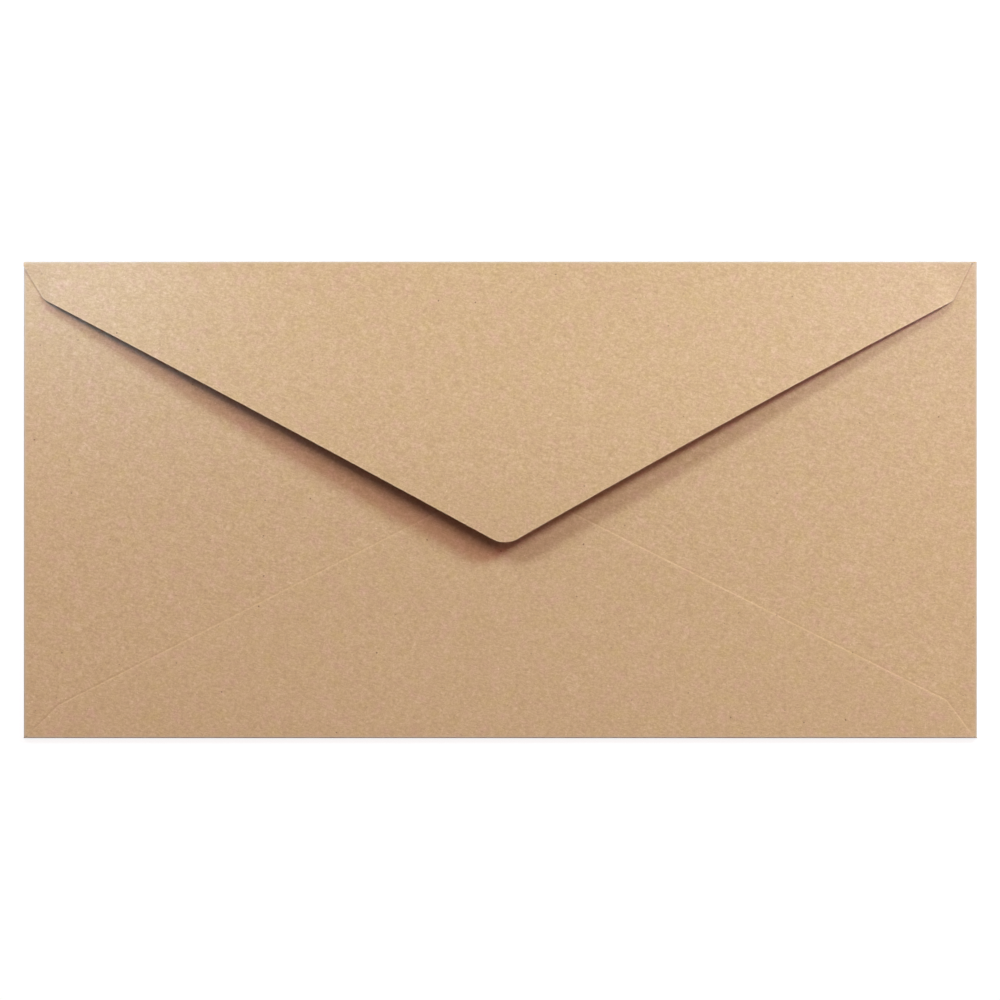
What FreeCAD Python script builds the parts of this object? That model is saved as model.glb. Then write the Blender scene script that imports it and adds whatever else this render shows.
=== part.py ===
import FreeCAD, Part
import math
import os

from FreeCAD import Vector

# A closed paper envelope, made of one sheet: a front panel, two side flaps folded in, a bottom flap
# folded up over them and glued to them, and a top flap folded down loosely over all three.
# Millimetres. +X is the long way, +Y points at the top fold and +Z points up, away from the table.
# The front panel lies on the table, and the origin is below the middle of the envelope.

# Whole envelope, from fold to fold
envelope_width = 220.0
envelope_height = 110.0

# Sheet and the space between its layers
paper_thickness = 0.17
pocket_gap = 0.5
top_flap_clearance = 0.12

# Corners, where two folds end beside each other
corner_tab_height = 0.25
corner_slit = 0.15

# Top flap: a wide triangle, measured in from the nearer side edge and down from the top fold.
# Its long cut edges are slightly hollow: each lies that far in from straight over its middle third.
top_flap_depth = 65.63
top_flap_tip_shift = 1.09
top_flap_tip_radius = 6.4
top_flap_left_shoulder_inset = 4.7
top_flap_left_shoulder_depth = 8.75
top_flap_left_edge_depth = 1.1
top_flap_left_edge_hollow = 0.25
top_flap_right_shoulder_inset = 5.5
top_flap_right_shoulder_depth = 9.05
top_flap_right_fold_inset = 1.1
top_flap_right_edge_hollow = 0.53
top_flap_shoulder_radius = 1.8

# Top flap's spring: it leaves the fold at an angle, runs straight and then curls over until level
top_flap_lift_angle = 4.7
top_flap_straight_run = 30.0
top_flap_curl_radius = 430.0

# Bottom flap: a wide triangle, measured in from the nearer side edge and up from the bottom fold
bottom_flap_height = 60.0
bottom_flap_apex_shift = 0.77
bottom_flap_apex_radius = 9.0
bottom_flap_left_shoulder_inset = 8.05
bottom_flap_left_shoulder_height = 7.6
bottom_flap_right_shoulder_inset = 7.0
bottom_flap_right_shoulder_height = 8.8
bottom_flap_shoulder_radius = 1.5
bottom_flap_fold_inset = 0.6

# Side flaps: each ends in a blunt nose that hides under the other two flaps
side_flap_tuck = 5.0
side_flap_glued_overlap = 15.0
side_flap_cover = 6.0
side_flap_nose_radius = 6.0

# Worked out from the values above
HALF_TURN = 180.0
half_width = envelope_width / 2
half_height = envelope_height / 2
side_fold_radius = pocket_gap / 2
bottom_fold_radius = (pocket_gap + paper_thickness) / 2
top_fold_radius = (pocket_gap + paper_thickness + top_flap_clearance) / 2
side_fold_reach = side_fold_radius + paper_thickness
bottom_fold_reach = bottom_fold_radius + paper_thickness
top_fold_reach = top_fold_radius + paper_thickness
bottom_tab_top = bottom_fold_reach + corner_tab_height
top_tab_bottom = top_fold_reach + corner_tab_height
side_flap_bottom = bottom_tab_top + corner_slit
side_flap_top = top_tab_bottom + corner_slit
trim_height = envelope_height


def from_left(inset, height):
    """A point given by its distance from the left side and its height above the bottom fold."""
    return Vector(inset - half_width, height - half_height, 0)


def from_right(inset, height):
    """A point given by its distance from the right side and its height above the bottom fold."""
    return Vector(half_width - inset, height - half_height, 0)


def below_top(depth):
    """Height above the bottom fold of a point that lies the given depth below the top fold."""
    return envelope_height - depth


def toward(start, end):
    """Unit vector from start to end."""
    return (end - start).normalize()


def direction(angle):
    """Unit vector in the edge-on view, at the given angle in degrees above the outward way."""
    return Vector(math.cos(math.radians(angle)), 0, math.sin(math.radians(angle)))


def line(start, end):
    return Part.LineSegment(start, end).toShape()


def rounded_outline(corners):
    """Closed outline through corners, each a point and the radius that rounds it."""
    tangents = []
    arcs = []
    for index, (corner, radius) in enumerate(corners):
        back = toward(corner, corners[index - 1][0])
        ahead = toward(corner, corners[(index + 1) % len(corners)][0])
        half_angle = back.getAngle(ahead) / 2
        setback = radius / math.tan(half_angle)
        entry = corner + back * setback
        leave = corner + ahead * setback
        tangents.append((entry, leave))
        if radius > 0:
            inward = (back + ahead).normalize()
            middle = corner + inward * (radius / math.sin(half_angle) - radius)
            arcs.append(Part.Arc(entry, middle, leave).toShape())
        else:
            arcs.append(None)
    edges = []
    for index, arc in enumerate(arcs):
        edges.append(line(tangents[index - 1][1], tangents[index][0]))
        if arc is not None:
            edges.append(arc)
    return Part.Wire(edges)


def hollow_corners(start, end, hollow):
    """Corners a third and two thirds along an edge, moved in by the hollow.

    The outline runs anticlockwise seen from above, so inward is to the left of the edge.
    """
    along = toward(start, end)
    inward = Vector(-along.y, along.x, 0) * hollow
    return [(start + (end - start) * share + inward, 0) for share in (1 / 3, 2 / 3)]


def upright_block(outline):
    """Solid with the given outline in plan, tall enough to trim every layer."""
    block = Part.Face(outline).extrude(Vector(0, 0, 2 * trim_height))
    block.translate(Vector(0, 0, -trim_height))
    return block


def panel_plate(low_corner, high_corner):
    """Flat rectangle of the sheet on the table, between two opposite corners."""
    span = high_corner - low_corner
    return Part.makeBox(span.x, span.y, paper_thickness, low_corner)


def sheet_profile(stretches):
    """The sheet seen edge on, as a closed face.

    It starts at the panel's edge, on the sheet's inner face, and heads outward. Each stretch is a
    straight run, then a turn to the left: its length, its inner radius and its angle in degrees.
    """
    place = Vector(0, 0, paper_thickness)
    heading = 0.0
    inner_edges = []
    outer_edges = []
    for run, radius, turn in stretches:
        outward = direction(heading - HALF_TURN / 2)
        if run > 0:
            end = place + direction(heading) * run
            inner_edges.append(line(place, end))
            outer_edges.append(line(place + outward * paper_thickness, end + outward * paper_thickness))
            place = end
        if turn > 0:
            centre = place - outward * radius
            ways = [direction(heading + part * turn - HALF_TURN / 2) for part in (0, 0.5, 1)]
            inner_edges.append(Part.Arc(*[centre + way * radius for way in ways]).toShape())
            outer_radius = radius + paper_thickness
            outer_edges.append(Part.Arc(*[centre + way * outer_radius for way in ways]).toShape())
            heading += turn
            place = centre + ways[-1] * radius
    start_edge = line(Vector(0, 0, 0), Vector(0, 0, paper_thickness))
    last_outward = direction(heading - HALF_TURN / 2)
    end_edge = line(place, place + last_outward * paper_thickness)
    return Part.Face(Part.Wire([start_edge] + inner_edges + [end_edge] + outer_edges[::-1]))


def folded_strip(stretches, length, quarter_turns, panel_edge):
    """A strip of the sheet beyond one panel edge, as long as that edge.

    It is made heading along +X and then turned about Z by quarter turns to its own side.
    """
    strip = sheet_profile(stretches).extrude(Vector(0, length, 0))
    strip.translate(Vector(0, -length / 2, 0))
    strip.rotate(Vector(0, 0, 0), Vector(0, 0, 1), quarter_turns * HALF_TURN / 2)
    strip.translate(panel_edge)
    return strip


def crossing(first_start, first_end, second_start, second_end):
    """Point where two lines meet in plan."""
    first = first_end - first_start
    second = second_end - second_start
    across = first.x * second.y - first.y * second.x
    gap = second_start - first_start
    share = (gap.x * second.y - gap.y * second.x) / across
    return first_start + first * share


# Corner points that the flaps share with their neighbours
top_tip = from_left(half_width + top_flap_tip_shift, below_top(top_flap_depth))
top_left_shoulder = from_left(top_flap_left_shoulder_inset, below_top(top_flap_left_shoulder_depth))
top_right_shoulder = from_right(top_flap_right_shoulder_inset, below_top(top_flap_right_shoulder_depth))
bottom_apex = from_left(half_width + bottom_flap_apex_shift, bottom_flap_height)
bottom_left_shoulder = from_left(bottom_flap_left_shoulder_inset, bottom_flap_left_shoulder_height)
bottom_right_shoulder = from_right(bottom_flap_right_shoulder_inset, bottom_flap_right_shoulder_height)


def front_panel():
    """Flat panel between the folds, with small tabs that square its corners past the side folds."""
    flat = panel_plate(
        from_left(side_fold_reach, bottom_fold_reach),
        from_right(side_fold_reach, below_top(top_fold_reach)),
    )
    bottom_tabs = panel_plate(from_left(0, bottom_fold_reach), from_right(0, bottom_tab_top))
    top_tabs = panel_plate(
        from_left(0, below_top(top_tab_bottom)),
        from_right(0, below_top(top_fold_reach)),
    )
    right_corner = panel_plate(
        from_right(top_flap_right_fold_inset - corner_slit, below_top(top_tab_bottom)),
        from_right(0, below_top(0)),
    )
    return [flat, bottom_tabs, top_tabs, right_corner]


def top_flap():
    """Top fold and the flap that springs up from it and curls over toward its tip."""
    curl_length = top_flap_depth - top_flap_straight_run + top_flap_tip_radius
    curl_angle = math.degrees(curl_length / top_flap_curl_radius)
    strip = folded_strip(
        [
            (0, top_fold_radius, HALF_TURN - top_flap_lift_angle),
            (top_flap_straight_run, top_flap_curl_radius, curl_angle),
        ],
        envelope_width,
        1,
        from_left(half_width, below_top(top_fold_reach)),
    )
    outline = rounded_outline(
        [
            (from_left(0, below_top(0)), 0),
            (from_left(0, below_top(top_flap_left_edge_depth)), 0),
            (top_left_shoulder, top_flap_shoulder_radius),
            *hollow_corners(top_left_shoulder, top_tip, top_flap_left_edge_hollow),
            (top_tip, top_flap_tip_radius),
            *hollow_corners(top_tip, top_right_shoulder, top_flap_right_edge_hollow),
            (top_right_shoulder, top_flap_shoulder_radius),
            (from_right(top_flap_right_fold_inset, below_top(0)), 0),
        ]
    )
    return strip.common(upright_block(outline))


def bottom_flap():
    """Bottom fold and the flap that lies on the side flaps."""
    strip = folded_strip(
        [
            (0, bottom_fold_radius, HALF_TURN),
            (bottom_flap_height, 0, 0),
        ],
        envelope_width,
        3,
        from_left(half_width, bottom_fold_reach),
    )
    outline = rounded_outline(
        [
            (from_right(0, 0), 0),
            (from_right(0, bottom_fold_reach), 0),
            (from_right(bottom_flap_fold_inset, bottom_fold_reach), 0),
            (bottom_right_shoulder, bottom_flap_shoulder_radius),
            (bottom_apex, bottom_flap_apex_radius),
            (bottom_left_shoulder, bottom_flap_shoulder_radius),
            (from_left(bottom_flap_fold_inset, bottom_fold_reach), 0),
            (from_left(0, bottom_fold_reach), 0),
            (from_left(0, 0), 0),
        ]
    )
    return strip.common(upright_block(outline))


def side_flap(top_shoulder, bottom_shoulder, fold_foot, fold_head, quarter_turns):
    """Side fold and the flap that lies between the front panel and the bottom flap.

    Its nose is set from the point where the bottom flap's edge goes in under the top flap's edge.
    """
    meeting = crossing(top_shoulder, top_tip, bottom_shoulder, bottom_apex)
    inward = 1 if fold_foot.x < 0 else -1
    nose_x = meeting.x + inward * side_flap_tuck
    nose_foot = Vector(nose_x, meeting.y - side_flap_glued_overlap, 0)
    nose_head = Vector(nose_x, meeting.y + side_flap_cover, 0)
    strip = folded_strip(
        [
            (0, side_fold_radius, HALF_TURN),
            (abs(nose_x - fold_foot.x), 0, 0),
        ],
        envelope_height,
        quarter_turns,
        Vector(fold_foot.x + inward * side_fold_reach, 0, 0),
    )
    outline = rounded_outline(
        [
            (fold_foot, 0),
            (nose_foot, side_flap_nose_radius),
            (nose_head, side_flap_nose_radius),
            (fold_head, 0),
        ]
    )
    return strip.common(upright_block(outline))


def envelope():
    """The folded sheet as one solid, glued where the bottom flap lies on the side flaps."""
    left = side_flap(
        top_left_shoulder,
        bottom_left_shoulder,
        from_left(0, side_flap_bottom),
        from_left(0, below_top(side_flap_top)),
        2,
    )
    right = side_flap(
        top_right_shoulder,
        bottom_right_shoulder,
        from_right(0, side_flap_bottom),
        from_right(0, below_top(side_flap_top)),
        0,
    )
    plates = front_panel()
    sheet = plates[0].fuse(plates[1:] + [left, right, bottom_flap(), top_flap()])
    return sheet.removeSplitter()


os.makedirs("parts", exist_ok=True)
envelope().exportStep("parts/envelope.step")
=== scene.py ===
"""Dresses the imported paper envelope: one folded kraft sheet, its paper finish, studio light and camera.

Sizes of the sheet are in millimetres, as a paper cutter gives them, and become metres in the mesh.
X runs along the envelope, Y points at the top fold and Z points up from the table.
"""

import logging
import math
from dataclasses import dataclass, field
from enum import Enum
from functools import reduce

import bmesh
import bpy
import numpy as np
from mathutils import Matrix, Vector


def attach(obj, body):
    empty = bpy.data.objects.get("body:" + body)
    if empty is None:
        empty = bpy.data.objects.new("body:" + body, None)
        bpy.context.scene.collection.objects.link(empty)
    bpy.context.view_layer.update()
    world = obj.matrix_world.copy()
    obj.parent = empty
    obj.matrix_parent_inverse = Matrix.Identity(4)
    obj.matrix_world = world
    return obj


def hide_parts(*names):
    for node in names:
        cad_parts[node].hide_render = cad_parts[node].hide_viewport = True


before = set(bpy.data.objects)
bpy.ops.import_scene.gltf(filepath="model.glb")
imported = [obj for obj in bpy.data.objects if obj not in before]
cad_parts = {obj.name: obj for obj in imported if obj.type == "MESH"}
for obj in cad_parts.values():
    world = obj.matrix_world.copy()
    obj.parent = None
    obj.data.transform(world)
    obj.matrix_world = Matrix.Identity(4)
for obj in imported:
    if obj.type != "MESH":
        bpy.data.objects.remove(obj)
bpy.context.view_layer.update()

LOG = logging.getLogger("envelope")
MM = 0.001
NEARLY = 1e-6
TINY = 1e-9
WELD = 1e-6
SHORTEST_EDGE = 1e-7
NOISE_MIDDLE = 0.5
WHITE = (1.0, 1.0, 1.0, 1.0)
NODE = "envelope"
BODY = "root"
# Pale band along cut edges: the cut fibres' own paler colour plus a painted highlight of edges catching
# light.
CUT_ATTRIBUTE = "cut_pale_and_highlight"
WEAR_ATTRIBUTE = "fold_wear"
UNDER_ATTRIBUTE = "side_flap"
CUT_REACH = 0.35

Socket = bpy.types.NodeSocket
Colour = tuple[float, float, float, float]
Inputs = dict[str | int, object]
Seam = tuple[float, float, float]


def smooth(share: np.ndarray) -> np.ndarray:
    """Smooth step: three times the square less twice the cube of a share held between 0 and 1."""
    held = np.clip(share, 0, 1)
    return held * held * (3 - 2 * held)


def near_cut(distance: np.ndarray) -> np.ndarray:
    """How near a cut edge each place is: one on the edge, less a smooth step over the cut's reach."""
    return 1 - smooth(distance / CUT_REACH)


def placed(name: str, data: bpy.types.ID) -> bpy.types.Object:
    """Makes an object and links it to the scene.

    Args:
        name: Name of the object.
        data: Its mesh, lamp or camera.

    Returns:
        The object.
    """
    made = bpy.data.objects.new(name, data)
    bpy.context.scene.collection.objects.link(made)
    return made


class Side(Enum):
    """The two ends of the envelope, as signs of X."""

    LEFT = -1
    RIGHT = 1


@dataclass(frozen=True)
class Corner:
    """A corner of a cut edge: how far it lies along the flap, its place across, and its rounding."""

    along: float
    across: float
    radius: float = 0.0

    def point(self) -> np.ndarray:
        """The corner as an array of its two coordinates."""
        return np.array([self.along, self.across])


@dataclass(frozen=True)
class CutEdge:
    """One cut edge of a flap, from its fold to its end, as a function of the distance along the flap.

    Attributes:
        corners: Corners in order along the flap, the last of them at its end.
        beyond: The next corner round the end, on the flap's other edge.
        hollow: How far the last stretch lies in from straight a third of the way along it.
    """

    corners: tuple[Corner, ...]
    beyond: Corner
    hollow: float = 0.0

    def _arc(self, index: int) -> tuple[float, float, np.ndarray]:
        """Fits the arc that rounds a corner.

        The tangent length is the radius over the tangent of half the corner's angle, and the centre
        lies on the bisector, at the radius over the sine of half the angle.

        Args:
            index: Which corner to round.

        Returns:
            Where the arc starts and ends along the flap, and its centre.
        """
        corner = self.corners[index]
        following = (*self.corners, self.beyond)[index + 1]
        back = self.corners[index - 1].point() - corner.point()
        ahead = following.point() - corner.point()
        back /= np.linalg.norm(back)
        ahead /= np.linalg.norm(ahead)
        half = math.acos(float(np.clip(back @ ahead, -1, 1))) / 2
        setback = corner.radius / math.tan(half)
        middle = (back + ahead) / np.linalg.norm(back + ahead)
        centre = corner.point() + middle * corner.radius / math.sin(half)
        start = corner.along + back[0] * setback
        end = corner.along + ahead[0] * setback
        if index + 1 == len(self.corners):
            end = max(end, centre[0] + corner.radius)
        return start, end, centre

    def end(self) -> float:
        """Distance along the flap at which its end lies.

        Returns:
            The last corner's distance where the end is straight across, and else its arc's farthest.
        """
        last = self.corners[-1]
        if self.beyond.along >= last.along - NEARLY:
            return last.along
        return self._arc(len(self.corners) - 1)[2][0] + last.radius

    def last_arc_start(self) -> float:
        """Distance along the flap at which the end's rounding starts."""
        return self._arc(len(self.corners) - 1)[0]

    def across(self, along: np.ndarray) -> np.ndarray:
        """Place of the edge across the flap.

        Straight between corners. On a rounded corner it is the centre's place plus or minus the root
        of radius squared less the squared distance from the centre along the flap.

        Args:
            along: Distances along the flap.

        Returns:
            The edge's place at each of them.
        """
        places = [corner.along for corner in self.corners]
        result = np.interp(along, places, [corner.across for corner in self.corners])
        for index, corner in enumerate(self.corners):
            if corner.radius <= 0:
                continue
            start, end, centre = self._arc(index)
            sign = math.copysign(1, self.corners[index - 1].across - centre[1])
            rise = np.sqrt(np.maximum(corner.radius**2 - (along - centre[0]) ** 2, 0))
            result = np.where((along > start) & (along <= end), centre[1] + sign * rise, result)
        return result + self._bow(along)

    def _bow(self, along: np.ndarray) -> np.ndarray:
        """How far the hollow moves the last stretch across.

        It is a parabola: nine halves of the hollow, times the share of the way and what is left of it.
        Square to the edge becomes across by the stretch's length over its length along the flap.

        Args:
            along: Distances along the flap.

        Returns:
            The move across at each of them, toward the flap's middle.
        """
        before, last = self.corners[-2:]
        span = last.along - before.along
        share = np.clip((along - before.along) / span, 0, 1)
        length = math.hypot(span, last.across - before.across)
        inward = math.copysign(1, last.across - before.across)
        return inward * 4.5 * self.hollow * share * (1 - share) * length / span


@dataclass(frozen=True)
class Rows:
    """Rows of a strip of the sheet, each a line across it.

    Attributes:
        outward: Place of each row along the strip's own direction in plan.
        height: Height of each row's middle surface.
        low: Where each row starts across the strip.
        high: Where each row ends across the strip.
        cut: Paleness of the row's cut ends, from 0 where its ends are folds to 1, partly a painted highlight.
        wear: How much the row lies on a fold's rubbed outer edge, from 0 to 1.
    """

    outward: np.ndarray
    height: np.ndarray
    low: np.ndarray
    high: np.ndarray
    cut: np.ndarray
    wear: np.ndarray

    @staticmethod
    def joined(parts: list["Rows"]) -> "Rows":
        """Rows of all parts, one after another."""
        names = ("outward", "height", "low", "high", "cut", "wear")
        return Rows(*[np.concatenate([getattr(part, name) for part in parts]) for name in names])


@dataclass(frozen=True)
class Paper:
    """The sheet's thickness, the space that its folds leave between its layers, and their rubbing."""

    thickness: float = 0.17
    pocket_gap: float = 0.5
    top_flap_clearance: float = 0.12
    fold_bulge: float = 0.12
    rubbed_width: float = 0.75

    @property
    def side_fold(self) -> float:
        """Half the height of the side folds' middle surface."""
        return (self.pocket_gap + self.thickness) / 2

    @property
    def bottom_fold(self) -> float:
        """Half the height of the bottom fold's middle surface, which also holds a side flap's thickness."""
        return (self.pocket_gap + 2 * self.thickness) / 2

    @property
    def top_fold(self) -> float:
        """Half the height of the top fold's middle surface, which clears the side flaps."""
        return (self.pocket_gap + 2 * self.thickness + self.top_flap_clearance) / 2

    @property
    def reach(self) -> float:
        """How far in from its outermost line each fold starts, as it is pressed to a steep ellipse."""
        return self.fold_bulge + self.thickness / 2

    @property
    def rub_marks(self) -> tuple[float, float]:
        """Distances in from a fold's outermost line at which the rubbing is half gone and all gone."""
        return self.rubbed_width / 2, self.rubbed_width

    def fold_inset(self, turned: np.ndarray) -> np.ndarray:
        """How far the middle surface lies in from a fold's outermost line, by the angle turned."""
        return self.reach - self.fold_bulge * np.sin(turned)

    def fold_height(self, fold: float, turned: np.ndarray) -> np.ndarray:
        """Height of the middle surface round a fold of this half height, by the angle turned."""
        return self.thickness / 2 + fold - fold * np.cos(turned)

    def rubbed(self, inset: np.ndarray) -> np.ndarray:
        """How rubbed the paper is, by its distance in from a fold's outermost line."""
        return 1 - smooth(inset / self.rubbed_width)


def stations(start: float, end: float, step: float, extra: tuple[float, ...]) -> np.ndarray:
    """Even stations from start to end, with some named ones among them.

    Args:
        start: First station.
        end: Last station.
        step: Largest distance between even stations.
        extra: Further stations to keep, such as corners.

    Returns:
        The stations in order, to a ten thousandth of a millimetre.
    """
    count = max(2, math.ceil((end - start) / step) + 1)
    every = np.concatenate([np.linspace(start, end, count), [x for x in extra if start < x < end]])
    return np.unique(np.round(every, 4))


def flap_stations(
    edges: tuple[CutEdge, CutEdge], start: float, step: float, extra: tuple[float, ...], count: int
) -> np.ndarray:
    """Stations from a flap's fold to its end: even ones, and then ones that crowd over its rounding.

    These lie at the end, less the radius times one less the cosine of even angles.

    Args:
        edges: The flap's two cut edges.
        start: First station.
        step: Largest distance between even stations.
        extra: Further stations to keep, such as corners.
        count: Number of stations over the rounding.

    Returns:
        The stations in order.
    """
    arc_start = min(edge.last_arc_start() for edge in edges)
    end = edges[0].end()
    radius = edges[0].corners[-1].radius
    angles = np.linspace(math.acos(1 - min(1.0, (end - arc_start) / radius)), 0, count + 1)[1:]
    return np.concatenate([stations(start, arc_start, step, extra), end - radius * (1 - np.cos(angles))])


@dataclass(frozen=True)
class Waviness:
    """Gentle unevenness of dry paper, as a sum of slanted waves.

    Each wave has its pitch, its shares of X, of Y and of the phase, its own phase and its weight.
    """

    height: float
    length: float
    phase: float
    waves: tuple[tuple[float, ...], ...] = (
        (1.0, 1.0, 0.35, 1.0, 0.0, 1.0),
        (0.73, -0.5, 1.4, 1.9, 1.1, 1.0),
        (1.61, 0.6, 1.0, -1.0, 2.3, 0.5),
    )

    def lift(self, x: np.ndarray, y: np.ndarray) -> np.ndarray:
        """Height of the waves: the weighted mean of three sines that run at different slants.

        Args:
            x: Places along the envelope.
            y: Places up the envelope.

        Returns:
            The height at each place.
        """
        total = np.zeros(x.shape)
        for pitch, x_share, y_share, phase_share, own_phase, weight in self.waves:
            angle = 2 * math.pi / self.length * pitch * (x_share * x + y_share * y)
            total += weight * np.sin(angle + phase_share * self.phase + own_phase)
        return self.height * total / sum(wave[-1] for wave in self.waves)


@dataclass(frozen=True)
class FrontPanel:
    """The address side, which lies on the table and carries the four folds."""

    paper: Paper = Paper()
    width: float = 220.0
    height: float = 110.0
    tab_height: float = 0.06
    slit: float = 0.03
    slit_corner: float = 0.006
    corner_cut: float = 0.04
    top_fold_inset: float = 1.1
    step: float = 2.0

    def side_range(self) -> tuple[float, float]:
        """Heights above the bottom fold between which the side folds run."""
        margin = self.paper.reach + self.tab_height + self.slit
        return margin, self.height - margin

    def row_heights(self) -> np.ndarray:
        """Heights of the panel's rows above the bottom fold.

        Returns:
            The heights, with the ends of the tabs and of the side folds among them.
        """
        low, high = self.side_range()
        bottom_tab = low - self.slit
        top_tab = high + self.slit
        marks = (bottom_tab, bottom_tab + self.slit_corner, low, high, top_tab - self.slit_corner, top_tab)
        return stations(self.paper.reach, self.height - self.paper.reach, self.step, marks)

    def rows(self) -> Rows:
        """The panel's rows: full width at the corner tabs, and up to the side folds between them.

        Returns:
            The rows, from the bottom fold up.
        """
        heights = self.row_heights()
        low, high = self.side_range()
        half = self.width / 2
        top_tab = heights > high + self.slit - NEARLY
        tab = top_tab | (heights < low - self.slit + NEARLY)
        ends = np.where(tab, half, half - self.paper.reach)
        return Rows(
            outward=heights - self.height / 2,
            height=np.full(heights.shape, self.paper.thickness / 2),
            low=-ends,
            high=np.where(top_tab, half - self.top_fold_inset, ends),
            cut=np.zeros(heights.shape),
            wear=self.paper.rubbed(np.minimum(heights, self.height - heights)),
        )

    def corner_grids(self) -> list[np.ndarray]:
        """The square corner beside the top fold's right end, which stops short of the side.

        Returns:
            Two grids of points: the tab beside the panel, and the part above it, past a narrow slit.
        """
        heights = self.row_heights()
        tab = heights[heights > self.side_range()[1] + self.slit - NEARLY]
        above = np.array([tab[-1], (tab[-1] + self.height) / 2, self.height])
        half = self.width / 2
        inner = half - self.top_fold_inset
        places = np.array([inner, inner + self.corner_cut, half - self.paper.reach, half])
        grids = []
        for rows, columns in ((tab, places), (above, places[1:])):
            x, y = np.meshgrid(columns, rows - self.height / 2)
            grids.append(np.stack([x, y, np.full(x.shape, self.paper.thickness / 2)], axis=-1))
        return grids


@dataclass(frozen=True)
class PointedFlap:
    """What the top flap and the bottom flap share: slanted edges that run from shoulders to a point.

    Attributes:
        depth: Distance from the fold to where the slanted edges would meet.
        shift: How far that point lies to the right of the middle.
        left_shoulder: How far the left shoulder lies in from the side, and how far from the fold.
        shoulder_zone: How far the close rows at the shoulders reach past them.
        hollows: How far the left and the right slanted edge lie in from straight.
    """

    panel: FrontPanel
    depth: float
    shift: float
    point_radius: float
    point_rows: int
    left_shoulder: tuple[float, float]
    right_shoulder: tuple[float, float]
    shoulder_radius: float
    shoulder_zone: float
    shoulder_rows: int
    hollows: tuple[float, float] = (0.0, 0.0)
    cut_pale_and_highlight: float = 1.0
    fold_count: int = 14
    step: float = 1.5

    def starts(self) -> tuple[tuple[Corner, ...], tuple[Corner, ...]]:
        """Corners of the left and the right edge before the shoulders."""
        raise NotImplementedError

    def edges(self) -> tuple[CutEdge, CutEdge]:
        """The flap's left and right cut edges, by distance from its fold.

        Returns:
            Both edges.
        """
        half = self.panel.width / 2
        point = Corner(self.depth, self.shift, self.point_radius)
        left_inset, left_along = self.left_shoulder
        right_inset, right_along = self.right_shoulder
        left = Corner(left_along, left_inset - half, self.shoulder_radius)
        right = Corner(right_along, half - right_inset, self.shoulder_radius)
        left_start, right_start = self.starts()
        left_edge = CutEdge((*left_start, left, point), right, self.hollows[0])
        right_edge = CutEdge((*right_start, right, point), left, self.hollows[1])
        return left_edge, right_edge

    def distances(self, start: float, *marks: float) -> np.ndarray:
        """Distances of the flap's rows from its fold, which crowd where its outline bends.

        Args:
            start: Distance of the first row.
            *marks: Further distances to keep.

        Returns:
            The distances, from the fold to the point.
        """
        bends = (self.left_shoulder[1], self.right_shoulder[1])
        first, last = min(bends) - self.shoulder_zone, max(bends) + self.shoulder_zone
        shoulders = np.linspace(first, last, self.shoulder_rows)
        extra = (*marks, *self.panel.paper.rub_marks, *shoulders)
        return flap_stations(self.edges(), start, self.step, extra, self.point_rows)

    def rows_at(self, distances: np.ndarray, outward: np.ndarray, height: np.ndarray) -> Rows:
        """Rows of the flap past its fold, whose two ends meet at the point.

        Args:
            distances: Distances of the rows from the fold.
            outward: Place of each row up the envelope.
            height: Height of each row's middle surface.

        Returns:
            The rows.
        """
        left, right = self.edges()
        low = left.across(distances)
        return Rows(
            outward=outward,
            height=height,
            low=low,
            high=np.where(distances >= left.end() - NEARLY, low, right.across(distances)),
            cut=np.full(distances.shape, self.cut_pale_and_highlight),
            wear=self.panel.paper.rubbed(distances),
        )


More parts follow.
